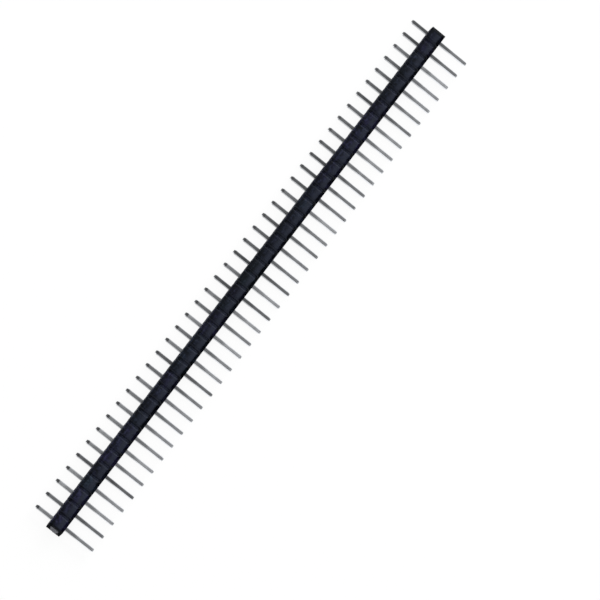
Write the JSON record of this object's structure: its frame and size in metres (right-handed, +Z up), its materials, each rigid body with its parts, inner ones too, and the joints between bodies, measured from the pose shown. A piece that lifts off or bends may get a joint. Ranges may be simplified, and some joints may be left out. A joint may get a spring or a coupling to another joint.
{
  "type": "pin header strip",
  "caption": "Single-row straight pin header strip: square tinned pins through a black breakaway insulator, long posts one side, short tails the other.",
  "frame": {"origin": "middle of the strip's footprint, on the surface that the insulator lies on: mid-length of the row, mid-length of the pins, and the underside of the insulator", "axes": "+X along the row from pin_01 to pin_40, +Y towards the short solder tails (the long mating posts point to -Y), +Z up from the surface the strip lies on"},
  "size_m": [0.1017, 0.0112, 0.0025],
  "materials": {
    "insulator": "black glass-filled thermoplastic, satin, with a paler broken web on one end",
    "pins": "tin-plated brass wire, satin silver-grey, drawn along its length"
  },
  "bodies": {
    "root": {"housing": "insulator", "pin_01": "pins", "pin_02": "pins", "pin_03": "pins", "pin_04": "pins", "pin_05": "pins", "pin_06": "pins", "pin_07": "pins", "pin_08": "pins", "pin_09": "pins", "pin_10": "pins", "pin_11": "pins", "pin_12": "pins", "pin_13": "pins", "pin_14": "pins", "pin_15": "pins", "pin_16": "pins", "pin_17": "pins", "pin_18": "pins", "pin_19": "pins", "pin_20": "pins", "pin_21": "pins", "pin_22": "pins", "pin_23": "pins", "pin_24": "pins", "pin_25": "pins", "pin_26": "pins", "pin_27": "pins", "pin_28": "pins", "pin_29": "pins", "pin_30": "pins", "pin_31": "pins", "pin_32": "pins", "pin_33": "pins", "pin_34": "pins", "pin_35": "pins", "pin_36": "pins", "pin_37": "pins", "pin_38": "pins", "pin_39": "pins", "pin_40": "pins"}
  },
  "joints": []
}
